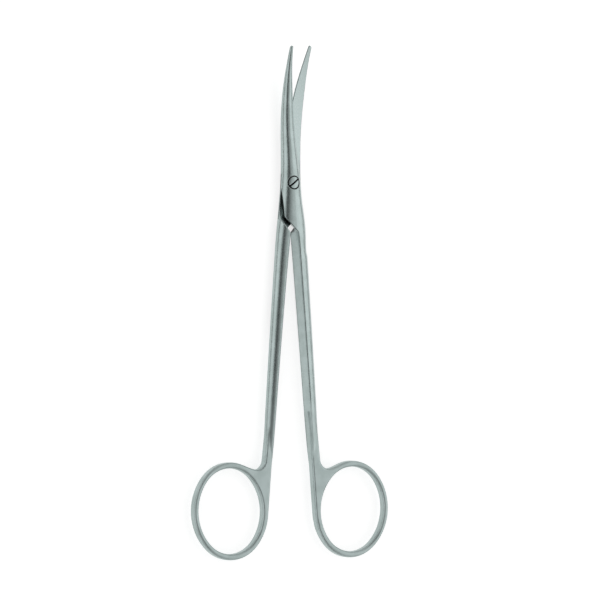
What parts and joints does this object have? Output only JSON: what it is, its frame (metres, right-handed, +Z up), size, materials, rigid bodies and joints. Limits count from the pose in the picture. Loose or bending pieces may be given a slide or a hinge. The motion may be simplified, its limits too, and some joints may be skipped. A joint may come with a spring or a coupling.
{
  "type": "dissecting scissors",
  "caption": "Slender curved dissecting scissors: narrow upswept blades, a slotted pivot screw, long oval shanks and oval finger rings.",
  "frame": {"origin": "on the pivot axis, at the ground flat under the joint that the scissors rest on", "axes": "+Y along the instrument towards the tips, +Z up out of the screw-head side, +X to the right as seen from above with the tips away"},
  "size_m": [0.0781, 0.1787, 0.0104],
  "materials": {
    "front_half": "satin",
    "rear_half": "satin",
    "pivot_screw": "fine turned"
  },
  "bodies": {
    "rear": {"rear_half": "rear_half", "pivot_screw": "pivot_screw"},
    "front": {"front_half": "front_half"}
  },
  "joints": [
    {"name": "blade_pivot", "type": "hinge", "parent": "rear", "child": "front", "pos_m": [0, 0, 0], "axis": [0, 0, 1], "range_deg": [-8.8, 70]}
  ]
}
